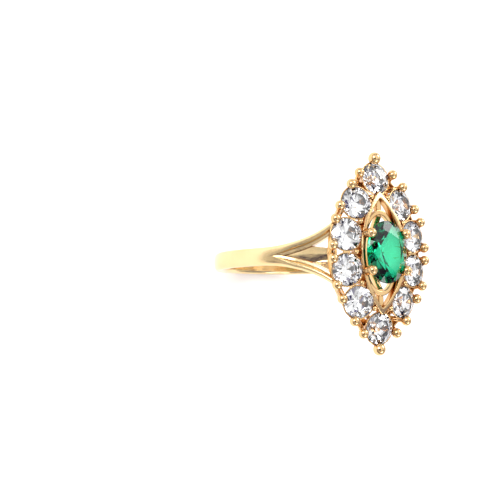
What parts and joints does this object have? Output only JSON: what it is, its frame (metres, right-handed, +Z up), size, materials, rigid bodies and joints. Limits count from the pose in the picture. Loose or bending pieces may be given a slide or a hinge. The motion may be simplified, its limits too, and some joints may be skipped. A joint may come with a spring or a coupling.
{
  "type": "cocktail ring",
  "caption": "Gold cocktail ring: split shank with shoulder leaves, pointed-oval halo of round brilliants in ball claws, and a raised oval green centre stone in an open gallery.",
  "frame": {"origin": "centre of the finger hole, in the middle of the band's width", "axes": "+Z up from the finger through the oval stone, +Y along the finger and the head's long points, +X across the shoulders"},
  "size_m": [0.0198, 0.0196, 0.0241],
  "materials": {
    "gold": "polished",
    "brilliant": "faceted, clear",
    "green_stone": "faceted, deep green"
  },
  "bodies": {
    "root": {"shank": "gold", "shoulder_leaf_left": "gold", "shoulder_leaf_right": "gold", "gallery_rail": "gold", "halo_frame": "gold", "inner_rail": "gold", "oval_ring": "gold", "gallery_spine": "gold", "inner_beads": "gold", "center_claws": "gold", "side_claws_left_middle": "gold", "side_claws_right_middle": "gold", "quarter_claws_left_back": "gold", "quarter_claws_left_front": "gold", "quarter_claws_right_back": "gold", "quarter_claws_right_front": "gold", "tip_claws_left_back": "gold", "tip_claws_left_front": "gold", "tip_claws_right_back": "gold", "tip_claws_right_front": "gold", "point_claw_back": "gold", "point_claw_front": "gold", "center_stone": "green_stone", "tip_stone_back": "brilliant", "tip_stone_front": "brilliant", "quarter_stone_left_back": "brilliant", "quarter_stone_left_front": "brilliant", "quarter_stone_right_back": "brilliant", "quarter_stone_right_front": "brilliant", "side_stone_left_back": "brilliant", "side_stone_left_front": "brilliant", "side_stone_right_back": "brilliant", "side_stone_right_front": "brilliant"}
  },
  "joints": []
}
